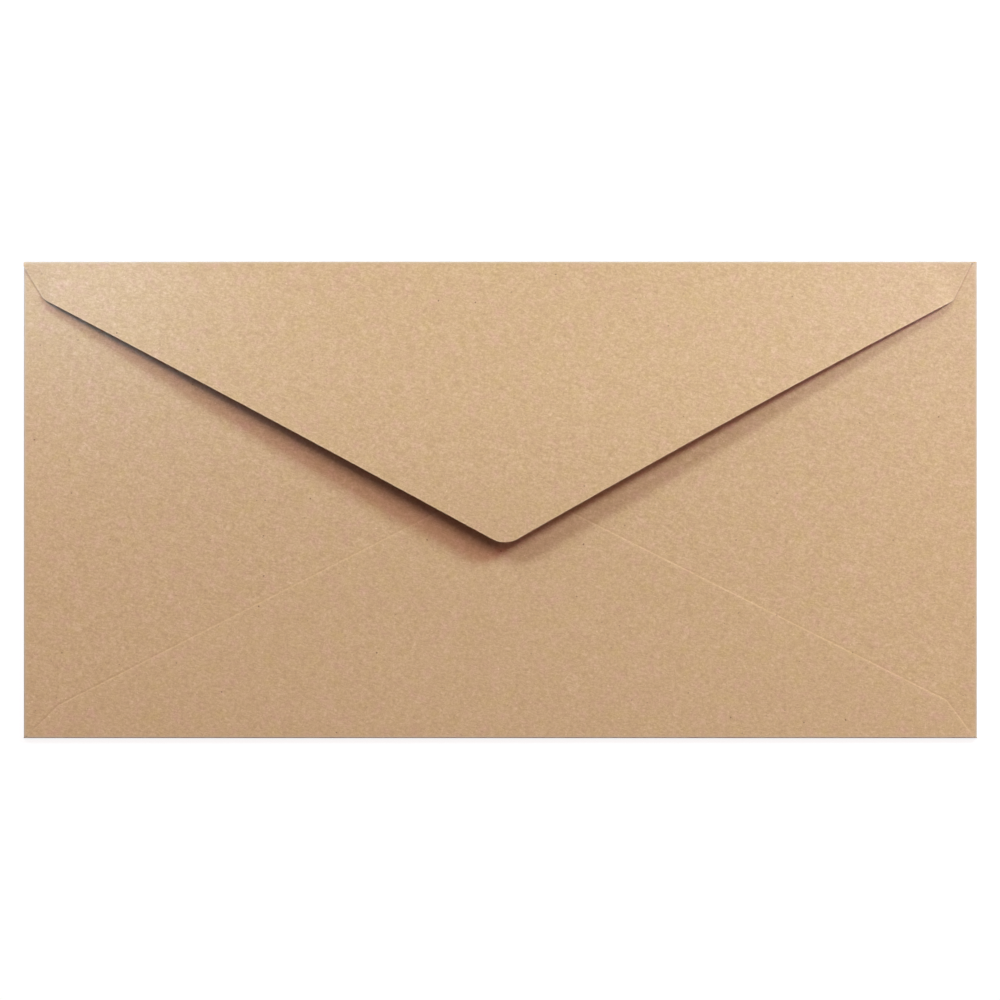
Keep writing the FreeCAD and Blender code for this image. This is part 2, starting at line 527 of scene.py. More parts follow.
@dataclass(frozen=True)
class TopFlap(PointedFlap):
    """The wide pointed flap, which springs up from its fold and curls over until its tip is level.

    Attributes:
        resting: How far in from the left and the right side its corners rest on the side flaps.
        rising: Over how much more it rises to its own height.
        first_turn: Angle of the fold's first row, which keeps it clear of the panel's last.
    """

    depth: float = 65.63
    shift: float = 1.09
    point_radius: float = 6.4
    point_rows: int = 10
    left_shoulder: tuple[float, float] = (4.7, 8.75)
    right_shoulder: tuple[float, float] = (5.5, 9.05)
    shoulder_radius: float = 1.8
    shoulder_zone: float = 1.4
    shoulder_rows: int = 13
    hollows: tuple[float, float] = (0.25, 0.53)
    left_edge_depth: float = 1.1
    lift_angle: float = 4.7
    straight_run: float = 30.0
    curl_radius: float = 430.0
    resting: tuple[float, float] = (3.4, 4.6)
    rising: float = 4.0
    first_turn: float = 0.01
    press_depth: float = 3.0
    wave_depth: float = 12.0
    waves: Waviness = Waviness(height=0.06, length=74.0, phase=0.6)

    def starts(self) -> tuple[tuple[Corner, ...], tuple[Corner, ...]]:
        """The left edge runs down the side first, and the right one starts in from the side."""
        half = self.panel.width / 2
        left = (Corner(0, -half), Corner(self.left_edge_depth, -half))
        return left, (Corner(0, half - self.panel.top_fold_inset),)

    def fold_turn(self) -> float:
        """Angle round the fold's ellipse at which it slopes as the flap does when it leaves the fold."""
        flatness = self.panel.paper.fold_bulge / self.panel.paper.top_fold
        return math.pi - math.atan(flatness * math.tan(math.radians(self.lift_angle)))

    def profile(self, depths: np.ndarray) -> np.ndarray:
        """Height of the flap's middle surface by depth.

        From the fold it rises by the tangent of its lift angle over the straight run. Past that, it
        follows a circle of the curl radius, so it gains the sine of the angle turned, less its drop.

        Args:
            depths: Depths below the top fold.

        Returns:
            The height at each depth.
        """
        angle = math.radians(self.lift_angle)
        paper = self.panel.paper
        start_depth = paper.fold_inset(self.fold_turn())
        start_height = paper.fold_height(paper.top_fold, self.fold_turn())
        run = self.straight_run * math.cos(angle)
        rise = np.clip(depths - start_depth, 0, run) * math.tan(angle)
        past = np.maximum(depths - start_depth - run, 0)
        centre_ahead = self.curl_radius * math.sin(angle)
        level = np.sqrt(self.curl_radius**2 - (past - centre_ahead) ** 2)
        return start_height + rise + level - self.curl_radius * math.cos(angle)

    def pressed(self, x: np.ndarray, depths: np.ndarray) -> np.ndarray:
        """How far the flap's corners are pressed down onto the side flaps, from 0 to 1.

        Args:
            x: Places along the envelope.
            depths: Depths below the top fold.

        Returns:
            The share by which each place comes down to the layer under it.
        """
        inset = self.panel.width / 2 - np.abs(x)
        start = np.where(x < 0, *self.resting)
        return (1 - smooth((inset - start) / self.rising)) * smooth(depths / self.press_depth)

    def fold_rows(self) -> Rows:
        """Rows round the top fold, on an ellipse from the panel up to the flap's lift angle.

        Returns:
            The rows.
        """
        left, right = self.edges()
        paper = self.panel.paper
        turned = np.linspace(0, self.fold_turn(), self.fold_count + 2)[:-1]
        turned[0] = self.first_turn
        depths = paper.fold_inset(turned)
        return Rows(
            outward=self.panel.height / 2 - depths,
            height=paper.fold_height(paper.top_fold, turned),
            low=left.across(depths),
            high=right.across(depths),
            cut=np.zeros(depths.shape),
            wear=paper.rubbed(depths - paper.thickness / 2),
        )

    def rows(self) -> Rows:
        """Rows from the fold to the tip."""
        depths = self.distances(self.panel.paper.fold_inset(self.fold_turn()), self.left_edge_depth)
        return self.rows_at(depths, self.panel.height / 2 - depths, self.profile(depths))


@dataclass(frozen=True)
class BottomFlap(PointedFlap):
    """The pointed flap that is folded up over the side flaps and glued to them."""

    depth: float = 60.0
    shift: float = 0.77
    point_radius: float = 9.0
    point_rows: int = 8
    left_shoulder: tuple[float, float] = (8.05, 7.6)
    right_shoulder: tuple[float, float] = (7.0, 8.8)
    shoulder_radius: float = 1.5
    shoulder_zone: float = 1.2
    shoulder_rows: int = 11
    cut_pale_and_highlight: float = 0.5
    fold_inset: float = 0.6
    first_row: float = 0.02
    pressed_edge: float = 0.04

    def starts(self) -> tuple[tuple[Corner, ...], tuple[Corner, ...]]:
        """Both edges start a little in from the sides."""
        place = self.panel.width / 2 - self.fold_inset
        return (Corner(self.panel.paper.reach, -place),), (Corner(self.panel.paper.reach, place),)

    def edge_drop(self, distance: np.ndarray) -> np.ndarray:
        """How far the glued flap is pressed down at its cut edge, by the distance from it."""
        return self.pressed_edge * near_cut(distance)

    def sides(self) -> list[Seam]:
        """The lines that bound the flap in plan.

        Returns:
            For each straight stretch, the two parts of its outward normal and its distance from the
            origin along that normal.
        """
        lines = []
        for edge in self.edges():
            for before, after in zip(edge.corners[:-1], edge.corners[1:]):
                rise = after.along - before.along
                run = after.across - before.across
                length = math.hypot(rise, run)
                normal_x = -math.copysign(rise, run) / length
                normal_y = abs(run) / length
                offset = normal_x * before.across + normal_y * (before.along - self.panel.height / 2)
                lines.append((normal_x, normal_y, offset))
        return lines

    def rows(self) -> Rows:
        """Rows from the apex down to the bottom fold.

        Returns:
            The rows.
        """
        paper = self.panel.paper
        heights = self.distances(paper.reach + self.first_row)[::-1]
        level = paper.fold_height(paper.bottom_fold, math.pi)
        return self.rows_at(heights, heights - self.panel.height / 2, np.full(heights.shape, level))

    def fold_rows(self) -> Rows:
        """Rows round the bottom fold, on half an ellipse from the flap down to the panel.

        Returns:
            The rows.
        """
        paper = self.panel.paper
        turned = np.linspace(math.pi, 0, self.fold_count + 1)[:-1]
        half = np.full(turned.shape, self.panel.width / 2)
        insets = paper.fold_inset(turned)
        return Rows(
            outward=insets - self.panel.height / 2,
            height=paper.fold_height(paper.bottom_fold, turned),
            low=-half,
            high=half,
            cut=np.zeros(turned.shape),
            wear=paper.rubbed(insets - paper.thickness / 2),
        )


@dataclass(frozen=True)
class SideFlap:
    """A flap folded in at one end, whose nose hides under the other two flaps.

    Where their edges cross, the nose goes in by the tuck, down by the overlap and up by the cover.
    """

    panel: FrontPanel
    side: Side
    tuck: float = 5.0
    glued_overlap: float = 15.0
    cover: float = 6.0
    nose_radius: float = 6.0
    nose_rows: int = 10
    fold_columns: int = 13
    step: float = 2.0

    def nose(self) -> tuple[float, float, float]:
        """Finds the nose from where the bottom flap's edge goes in under the top flap's edge.

        Returns:
            The nose's distance in from the side, and its lowest and highest height above the fold.
        """
        index = 0 if self.side is Side.LEFT else 1
        over, over_end = TopFlap(self.panel).edges()[index].corners[-2:]
        under, under_end = BottomFlap(self.panel).edges()[index].corners[-2:]
        over_slope = (over_end.along - over.along) / (over_end.across - over.across)
        under_slope = (under_end.along - under.along) / (under_end.across - under.across)
        rise = self.panel.height - over.along - under.along
        moved = rise + over_slope * over.across + under_slope * under.across
        across = moved / (over_slope + under_slope)
        height = under.along + under_slope * (across - under.across)
        inset = self.panel.width / 2 - self.side.value * across + self.tuck
        return inset, height - self.glued_overlap, height + self.cover

    def rows(self) -> Rows:
        """Columns of the side fold and the flap.

        Returns:
            The columns as rows of a strip, from the panel round to the nose.
        """
        inset, nose_low, nose_high = self.nose()
        low, high = self.panel.side_range()
        paper = self.panel.paper
        lowest = Corner(inset, nose_low, self.nose_radius)
        highest = Corner(inset, nose_high, self.nose_radius)
        lower = CutEdge((Corner(paper.reach, low), lowest), highest)
        upper = CutEdge((Corner(paper.reach, high), highest), lowest)
        marks = paper.rub_marks
        flat = flap_stations((lower, upper), paper.reach, self.step, marks, self.nose_rows)[1:]
        turned = np.linspace(0, math.pi, self.fold_columns)
        insets = np.concatenate([paper.fold_inset(turned), flat])
        bent = np.arange(insets.size) < turned.size
        middle = self.panel.height / 2
        return Rows(
            outward=self.side.value * (self.panel.width / 2 - insets),
            height=paper.fold_height(paper.side_fold, np.append(turned, np.full(flat.shape, math.pi))),
            low=np.where(bent, low, lower.across(insets)) - middle,
            high=np.where(bent, high, upper.across(insets)) - middle,
            cut=np.where(bent, 0.0, 1.0),
            wear=paper.rubbed(insets - np.where(bent, paper.thickness / 2, 0)),
        )


@dataclass(frozen=True)
class Settling:
    """How the glued layers at the back sink toward the front panel away from the folds."""

    sag: float = 0.12
    side_ease: float = 7.0
    foot_ease: float = 35.0
    waves: Waviness = Waviness(height=0.05, length=83.0, phase=2.1)

    def lift(self, panel: FrontPanel, x: np.ndarray, y: np.ndarray) -> np.ndarray:
        """Height by which the layers leave their level: smooth steps in from the folds, times sag and waves.

        Args:
            panel: The front panel.
            x: Places along the envelope.
            y: Places up the envelope.

        Returns:
            The height at each place.
        """
        from_sides = smooth((panel.width / 2 - np.abs(x)) / self.side_ease)
        from_foot = smooth((panel.height / 2 + y) / self.foot_ease)
        return from_sides * from_foot * (self.waves.lift(x, y) - self.sag)


@dataclass(frozen=True)
class Patch:
    """A grid of the sheet's middle surface.

    Attributes:
        points: Array of rows by columns by three, in millimetres.
        cut: How pale the paper is beside a cut edge at each point, partly a painted highlight.
        wear: How rubbed the paper is at each point.
        under: At each point, 1 on a side flap and 0 elsewhere.
    """

    points: np.ndarray
    cut: np.ndarray
    wear: np.ndarray
    under: np.ndarray


@dataclass
class SheetMesh:
    """Collects patches of the sheet's middle surface and joins them into one folded sheet."""

    patches: list[Patch] = field(default_factory=list)
    faces: list[np.ndarray] = field(default_factory=list)
    count: int = 0

    def add(self, patch: Patch, flipped: bool = False) -> None:
        """Adds a patch, with a quad between each four neighbours.

        Args:
            patch: The patch.
            flipped: Whether to turn the quads to face the other way.
        """
        rows, columns = patch.points.shape[:2]
        index = np.arange(rows * columns).reshape(rows, columns) + self.count
        quads = np.stack([index[:-1, :-1], index[:-1, 1:], index[1:, 1:], index[1:, :-1]], axis=-1)
        quads = quads.reshape(-1, 4)
        self.faces.append(quads[:, ::-1] if flipped else quads)
        self.patches.append(patch)
        self.count += rows * columns

    def joined(self, name: str) -> bpy.types.Mesh:
        """Joins the grids where they meet and returns the mesh in metres.

        Args:
            name: Name of the mesh.

        Returns:
            The mesh, with the patches' other values as attributes of its points.
        """
        mesh = bpy.data.meshes.new(name)
        points = np.concatenate([patch.points.reshape(-1, 3) for patch in self.patches])
        mesh.from_pydata(points * MM, [], np.concatenate(self.faces).tolist())
        for key, part in ((CUT_ATTRIBUTE, "cut"), (WEAR_ATTRIBUTE, "wear"), (UNDER_ATTRIBUTE, "under")):
            values = np.concatenate([getattr(patch, part).reshape(-1) for patch in self.patches])
            mesh.attributes.new(key, "FLOAT", "POINT").data.foreach_set("value", values.astype(np.float32))
        work = bmesh.new()
        work.from_mesh(mesh)
        bmesh.ops.remove_doubles(work, verts=work.verts[:], dist=WELD)
        bmesh.ops.dissolve_degenerate(work, edges=work.edges[:], dist=SHORTEST_EDGE)
        work.to_mesh(mesh)
        work.free()
        mesh.update()
        return mesh


@dataclass(frozen=True)
class Envelope:
    """The whole folded sheet: panel, folds and flaps. Most columns are even, and the edge ones crowd."""

    panel: FrontPanel = FrontPanel()
    settling: Settling = Settling()
    rest_gap: float = 0.03
    edge_columns: tuple[float, ...] = (0.0, 0.22, 0.42, 0.95, 1.7, 3.0)
    column_count: int = 104
    crisp_angle: float = 50.0

    def across(self, rows: Rows) -> tuple[np.ndarray, np.ndarray]:
        """Spreads points over each row, crowded near its ends.

        Near an end the points keep fixed distances from it, cut down in proportion where the row is
        short. Between them they are even.

        Args:
            rows: Rows of a strip.

        Returns:
            The points' places across, and their distance to the nearer end of the row, square to that
            edge, each as an array of rows by columns.
        """
        width = (rows.high - rows.low)[:, None]
        near = np.array(self.edge_columns)
        fitted = near * np.minimum(1, width / (3 * near[-1]))
        even = np.linspace(0, 1, self.column_count)[1:-1]
        inner = fitted[:, -1:] + even * (width - 2 * fitted[:, -1:])
        offset = np.concatenate([fitted, inner, width - fitted[:, ::-1]], axis=1)
        from_low = offset * self._slant(rows.low, rows.outward)[:, None]
        from_high = (width - offset) * self._slant(rows.high, rows.outward)[:, None]
        return rows.low[:, None] + offset, np.minimum(from_low, from_high)

    @staticmethod
    def _slant(edge: np.ndarray, outward: np.ndarray) -> np.ndarray:
        """Cosine of an edge's slant from the strip's direction, which makes distances square to it.

        The slope at a row is the gentler of those to the rows before and after it, so a step in the
        edge from one row to the next, as at the end of a fold, counts for neither.

        Args:
            edge: Place of the edge across the strip, by row.
            outward: Place of each row along the strip.

        Returns:
            The cosine at each row.
        """
        slopes = np.abs(np.diff(edge) / (np.diff(outward) + TINY))
        gentler = np.minimum(np.append(slopes[0], slopes), np.append(slopes, slopes[-1]))
        return 1 / np.sqrt(1 + gentler**2)

    def long_strip(self) -> Patch:
        """The strip from the bottom flap's apex, round both folds, to the top flap's tip.

        Returns:
            The patch, as rows by columns.
        """
        top, bottom, paper = TopFlap(self.panel), BottomFlap(self.panel), self.panel.paper
        parts = [bottom.rows(), bottom.fold_rows(), self.panel.rows(), top.fold_rows(), top.rows()]
        rows = Rows.joined(parts)
        x, distance = self.across(rows)
        y = np.broadcast_to(rows.outward[:, None], x.shape)
        z = np.array(np.broadcast_to(rows.height[:, None], x.shape))
        lower = slice(0, parts[0].outward.size)
        upper = slice(rows.outward.size - parts[-1].outward.size, rows.outward.size)
        z[lower] += self.settling.lift(self.panel, x[lower], y[lower]) - bottom.edge_drop(distance[lower])
        depths = self.panel.height / 2 - y[upper]
        z[upper] += top.waves.lift(x[upper], y[upper]) * smooth(depths / top.wave_depth)
        under = 2 * paper.side_fold + 1.5 * paper.thickness + self.rest_gap
        contact = under + self.settling.lift(self.panel, x[upper], y[upper])
        z[upper] += (contact - z[upper]) * top.pressed(x[upper], depths)
        cut = rows.cut[:, None] * near_cut(distance)
        wear = np.broadcast_to(rows.wear[:, None], x.shape)
        return Patch(np.stack([x, y, z], axis=-1), cut, wear, np.zeros(x.shape))

    def side_strip(self, side: Side) -> Patch:
        """One side fold and its flap, with rows that meet the panel's rows.

        Args:
            side: Which side flap.

        Returns:
            The patch, as columns by rows.
        """
        rows = SideFlap(self.panel, side).rows()
        low, high = self.panel.side_range()
        heights = self.panel.row_heights()
        heights = heights[(heights >= low - NEARLY) & (heights <= high + NEARLY)]
        share = (heights - low) / (high - low)
        y = rows.low[:, None] + share * (rows.high - rows.low)[:, None]
        x = np.broadcast_to(rows.outward[:, None], y.shape)
        flat = np.broadcast_to(rows.cut[:, None] > 0, y.shape)
        z = rows.height[:, None] + np.where(flat, self.settling.lift(self.panel, x, y), 0)
        distance = np.minimum(y - rows.low[:, None], rows.high[:, None] - y)
        cut = rows.cut[:, None] * near_cut(distance)
        wear = np.broadcast_to(rows.wear[:, None], x.shape)
        return Patch(np.stack([x, y, z], axis=-1), cut, wear, flat.astype(float))

    def corner_patches(self) -> list[Patch]:
        """The square corner beside the top fold's right end."""
        grids = self.panel.corner_grids()
        return [Patch(grid, *[np.zeros(grid.shape[:2])] * 3) for grid in grids]

    def build(self) -> bpy.types.Object:
        """Builds the folded sheet with its thickness.

        Returns:
            The sheet's object.
        """
        sheet = SheetMesh()
        for patch in (self.long_strip(), *self.corner_patches()):
            sheet.add(patch, flipped=True)
        for side in Side:
            sheet.add(self.side_strip(side), flipped=side is Side.RIGHT)
        obj = placed("folded_sheet", sheet.joined("folded_sheet"))
        self._thicken(obj)
        return obj

    def _thicken(self, obj: bpy.types.Object) -> None:
        """Gives the sheet its thickness about its middle surface, and keeps its cut edges crisp.

        Args:
            obj: The sheet, whose mesh is replaced.
        """
        solid = obj.modifiers.new("paper thickness", "SOLIDIFY")
        solid.thickness = self.panel.paper.thickness * MM
        solid.offset = 0.0
        depsgraph = bpy.context.evaluated_depsgraph_get()
        thick = bpy.data.meshes.new_from_object(obj.evaluated_get(depsgraph), depsgraph=depsgraph)
        obj.modifiers.clear()
        thick.name = obj.name
        obj.data = thick
        thick.shade_smooth()
        thick.set_sharp_from_angle(angle=math.radians(self.crisp_angle))


class NodeBench:
    """Short calls for laying out the nodes of a material or of the surroundings."""

    def __init__(self, owner: bpy.types.Material | bpy.types.World) -> None:
        """Empties the owner's node tree.

        Args:
            owner: The material or the surroundings.
        """
        owner.use_nodes = True
        self.kind = "World" if isinstance(owner, bpy.types.World) else "Material"
        self.tree = owner.node_tree
        self.tree.nodes.clear()

    def node(self, kind: str, inputs: Inputs | None = None, **settings: object) -> bpy.types.Node:
        """Adds a node, sets its properties and feeds its inputs.

        Args:
            kind: Blender's name of the node's type, past "ShaderNode".
            inputs: A socket to link or a plain value to set, by the input's name or place.
            **settings: Properties of the node.

        Returns:
            The node.
        """
        made = self.tree.nodes.new("ShaderNode" + kind)
        for key, value in settings.items():
            setattr(made, key, value)
        for name, source in (inputs or {}).items():
            if isinstance(source, Socket):
                self.tree.links.new(source, made.inputs[name])
            else:
                made.inputs[name].default_value = source
        return made

    def math(self, operation: str, *values: object, clamp: bool = False) -> Socket:
        """A sum, product or other operation on numbers or sockets."""
        return self.node("Math", dict(enumerate(values)), operation=operation, use_clamp=clamp).outputs[0]

    def vector(self, operation: str, *values: object) -> Socket:
        """An operation on vectors."""
        return self.node("VectorMath", dict(enumerate(values)), operation=operation).outputs[0]

    def chain(self, operation: str, *values: object) -> Socket:
        """An operation on the first two of the values, then on the result and the next, and so on."""
        return reduce(lambda one, other: self.math(operation, one, other), values)

    def product(self, *values: object) -> Socket:
        """Product of numbers or sockets."""
        return self.chain("MULTIPLY", *values)

    def mapped(self, vector: Socket, scale: tuple[float, ...], turn: float = 0.0) -> Socket:
        """Turns a vector about Z and then scales it.

        Args:
            vector: The vector.
            scale: Scales along the three turned directions.
            turn: Degrees to turn by.

        Returns:
            The vector.
        """
        inputs = {"Vector": vector, "Angle": math.radians(turn)}
        turned = self.node("VectorRotate", inputs, rotation_type="Z_AXIS")
        return self.vector("MULTIPLY", turned.outputs[0], scale)

    def noise(
        self, vector: Socket, scale: float, detail: float, roughness: float = 0.5, output: str = "Fac"
    ) -> Socket:
        """Fractal noise of the given scale, as a number or, from the output Color, as three numbers."""
        inputs = {"Vector": vector, "Scale": scale, "Detail": detail, "Roughness": roughness}
        return self.node("TexNoise", inputs, noise_dimensions="3D").outputs[output]

    def swing(self, vector: Socket, scale: float, detail: float, roughness: float, weight: float) -> Socket:
        """Noise about nought, times a weight."""
        noise = self.noise(vector, scale, detail, roughness)
        return self.product(self.math("SUBTRACT", noise, NOISE_MIDDLE), weight)

    def bent(self, place: Socket, source: Socket, scale: float, detail: float, amount: float) -> Socket:
        """A place moved in plan by threefold noise, which is taken at the source."""
        shift = self.noise(source, scale, detail, output="Color")
        return self.vector("MULTIPLY_ADD", shift, (amount, amount, 0.0), place)

    def ramp(self, value: Socket, *ends: float) -> Socket:
        """Maps one range smoothly onto another, or onto 0 to 1, given by their ends, and holds it outside."""
        inputs = dict(zip(("From Min", "From Max", "To Min", "To Max"), (*ends, 0.0, 1.0)), Value=value)
        return self.node("MapRange", inputs, interpolation_type="SMOOTHSTEP").outputs["Result"]

    def mix(self, share: object, first: object, second: object) -> Socket:
        """Mixes two colours by a share."""
        inputs = {"Factor": share, "A": first, "B": second}
        return self.node("Mix", inputs, data_type="RGBA", clamp_factor=True).outputs["Result"]

    def attribute(self, name: str) -> Socket:
        """A number that the mesh carries at its points."""
        return self.node("Attribute", attribute_name=name).outputs["Fac"]

    def seen(self) -> Socket:
        """One on a ray that the camera sees, straight, mirrored or through something, and else nought.

        Returns:
            The one or the nought.
        """
        path = self.node("LightPath")
        rays = ("Is Camera Ray", "Is Glossy Ray", "Is Transmission Ray")
        return self.chain("MAXIMUM", *[path.outputs[ray] for ray in rays])

    def finish(self, surface: bpy.types.Node) -> None:
        """Adds the output node, with its surface."""
        self.node("Output" + self.kind, {"Surface": surface.outputs[0]})


@dataclass(frozen=True)
class Specks:
    """Sparse specks in the paper, at most one to a cell, and only in a share of the cells.

    Attributes:
        density: Cells to a millimetre.
        radius: Radius of a speck in millimetres, which is full over its core.
        share: Share of the cells with a speck.
        turn: Degrees by which the pattern is turned, so that two populations don't coincide.
        ragged: Scale and detail of the noise that bends its outline, and by how much it does.
    """

    density: float
    radius: float
    share: float
    turn: float
    core: float = 0.4
    ragged: tuple[float, float, float] = (3.0, 1.0, 0.25)
    faintest: float = 0.25
    varied: float = 0.6

    def cover(self, bench: NodeBench, flat: Socket) -> Socket:
        """Lays out the specks.

        Args:
            bench: Where the nodes go.
            flat: The place in millimetres.

        Returns:
            How strongly each place is covered, from 0 to 1.
        """
        moved = bench.bent(bench.mapped(flat, (1.0, 1.0, 0.0), self.turn), flat, *self.ragged)
        inputs = {"Vector": moved, "Scale": self.density}
        cells = bench.node("TexVoronoi", inputs, voronoi_dimensions="2D", feature="F1")
        rim = self.radius * self.density
        near = bench.ramp(cells.outputs["Distance"], rim * self.core, rim, 1.0, 0.0)
        parts = bench.node("SeparateColor", {0: cells.outputs["Color"]})
        chosen = bench.math("LESS_THAN", parts.outputs[0], self.share)
        strength = bench.math("MULTIPLY_ADD", parts.outputs[1], self.varied, self.faintest)
        return bench.product(near, chosen, strength)


@dataclass(frozen=True)
class SeamShade:
    """Thin shade on the side flaps just outside the glued flap's edge, deepest toward the corners.

    It sets in and fades between distances outside the edge, and deepens between distances from the
    middle, from the first of its shares to the second at the left and the third at the right.
    """

    strength: float = 0.36
    onset: tuple[float, float] = (-0.05, 0.2)
    fading: tuple[float, float] = (0.3, 0.75)
    reach: tuple[float, float] = (60.0, 103.0)
    shares: tuple[float, float, float] = (0.4, 1.0, 0.6)

    def cover(self, bench: NodeBench, flat: Socket, seams: list[Seam]) -> Socket:
        """Lays out the shade. The distance outside the edge is the greatest of those beyond its lines.

        Args:
            bench: Where the nodes go.
            flat: The place in millimetres.
            seams: The lines that bound the glued flap, each a normal and its distance from the origin.

        Returns:
            How strongly each place is shaded, from 0 to 1.
        """
        beyond = []
        for normal_x, normal_y, offset in seams:
            inputs = {0: flat, 1: (normal_x, normal_y, 0.0)}
            along = bench.node("VectorMath", inputs, operation="DOT_PRODUCT")
            beyond.append(bench.math("SUBTRACT", along.outputs["Value"], offset))
        outside = bench.chain("MAXIMUM", *beyond)
        place = bench.node("SeparateXYZ", {0: flat}).outputs["X"]
        near, far = self.reach
        middle, left, right = self.shares
        toward_left = bench.ramp(place, -near, -far, middle, left)
        toward_right = bench.ramp(place, near, far, middle, right)
        toward_ends = bench.math("MAXIMUM", toward_left, toward_right)
        band = bench.product(bench.ramp(outside, *self.onset), bench.ramp(outside, *self.fading, 1.0, 0.0))
        return bench.product(band, toward_ends, bench.attribute(UNDER_ATTRIBUTE), self.strength)


@dataclass(frozen=True)
class KraftPaper:
    """Brown kraft paper: cloudy pulp, curly fibres, dark bark specks and pale fibre ends.

    Clouds, flocks, fine grain and strands are noise with a scale, detail, roughness and weight. The
    clouds turn pink and ochre over their spans. Each slant of the fibres has its degrees, its scales
    along and across, and its weight.
    """

    base: Colour = (0.585, 0.386, 0.213, 1.0)
    dark: Colour = (0.39, 0.235, 0.118, 1.0)
    pale: Colour = (0.80, 0.60, 0.39, 1.0)
    pink: Colour = (0.625, 0.374, 0.255, 1.0)
    ochre: Colour = (0.580, 0.396, 0.184, 1.0)
    bark: Colour = (0.20, 0.11, 0.055, 1.0)
    rubbed: Colour = (0.575, 0.455, 0.335, 1.0)
    cloud: tuple[float, ...] = (0.27, 3.0, 0.6)
    cloud_spans: tuple[tuple[float, float], ...] = ((0.5, 0.8), (0.5, 0.2))
    cloud_share: float = 0.8
    flock: tuple[float, ...] = (0.42, 2.0, 0.6, 0.42)
    fine: tuple[float, ...] = (1.6, 2.0, 0.6, 0.75)
    fibre_bend: tuple[float, ...] = (0.55, 2.0, 1.6)
    strand: tuple[float, float, float] = (1.0, 1.0, 0.5)
    slants: tuple[tuple[float, ...], ...] = (
        (14.0, 0.8, 3.6, 1.2),
        (-52.0, 0.9, 4.2, 0.75),
        (81.0, 1.0, 3.9, 0.65),
    )
    bark_specks: tuple[Specks, ...] = (Specks(0.11, 0.26, 0.22, 3.0), Specks(0.26, 0.14, 0.10, 17.0))
    pale_specks: Specks = Specks(0.17, 0.18, 0.35, 41.0)
    seam_shade: SeamShade = SeamShade()
    contrast: float = 0.88
    cut_pale_and_highlight_share: float = 0.3
    wear_share: float = 0.8
    roughness: float = 0.88
    specular: float = 0.15
    relief: float = 0.02
    relief_share: float = 0.6

    def material(self, seams: list[Seam]) -> bpy.types.Material:
        """Lays out the paper's nodes on object coordinates, in millimetres.

        Args:
            seams: The lines that bound the glued flap, each a normal and its distance from the origin.

        Returns:
            The material.
        """
        paper = bpy.data.materials.new("kraft_paper")
        bench = NodeBench(paper)
        place = bench.node("TexCoord").outputs["Object"]
        flat = bench.mapped(place, (1 / MM, 1 / MM, 1 / MM))
        cloud = bench.noise(flat, *self.cloud)
        fine = bench.swing(flat, *self.fine)
        fibre = self._fibres(bench, flat)
        tone = bench.chain("ADD", fine, bench.swing(flat, *self.flock), fibre)
        tints = (
            (bench.ramp(cloud, *self.cloud_spans[0], 0.0, self.cloud_share), self.pink),
            (bench.ramp(cloud, *self.cloud_spans[1], 0.0, self.cloud_share), self.ochre),
            (bench.math("MULTIPLY", tone, self.contrast, clamp=True), self.pale),
            (bench.math("MULTIPLY", tone, -self.contrast, clamp=True), self.dark),
            *[(specks.cover(bench, flat), self.bark) for specks in self.bark_specks],
            (self.pale_specks.cover(bench, flat), self.pale),
            (self.seam_shade.cover(bench, flat, seams), self.dark),
            # Pale cut edges: paler cut fibres plus a painted highlight where the edges catch the light.
            (bench.product(bench.attribute(CUT_ATTRIBUTE), self.cut_pale_and_highlight_share), self.pale),
            (bench.product(bench.attribute(WEAR_ATTRIBUTE), self.wear_share), self.rubbed),
        )
        colour: Socket | Colour = self.base
        for share, tint in tints:
            colour = bench.mix(share, colour, tint)
        grain = bench.math("ADD", fine, fibre)
        inputs = {"Strength": self.relief_share, "Distance": self.relief * MM, "Height": grain}
        finish = {"Roughness": self.roughness, "Specular IOR Level": self.specular}
        finish["Normal"] = bench.node("Bump", inputs).outputs[0]
        bench.finish(bench.node("BsdfPrincipled", {"Base Color": colour, **finish}))
        return paper

    def _fibres(self, bench: NodeBench, flat: Socket) -> Socket:
        """Curly fibres: noise stretched along three slants, mostly level, on a place bent by coarser noise.

        Args:
            bench: Where the nodes go.
            flat: The place in millimetres.

        Returns:
            The fibres' tone, about nought.
        """
        bent = bench.bent(flat, flat, *self.fibre_bend)
        strands = [
            bench.swing(bench.mapped(bent, (along, across, 1.0), turn), *self.strand, weight)
            for turn, along, across, weight in self.slants
        ]
        return bench.chain("ADD", *strands)


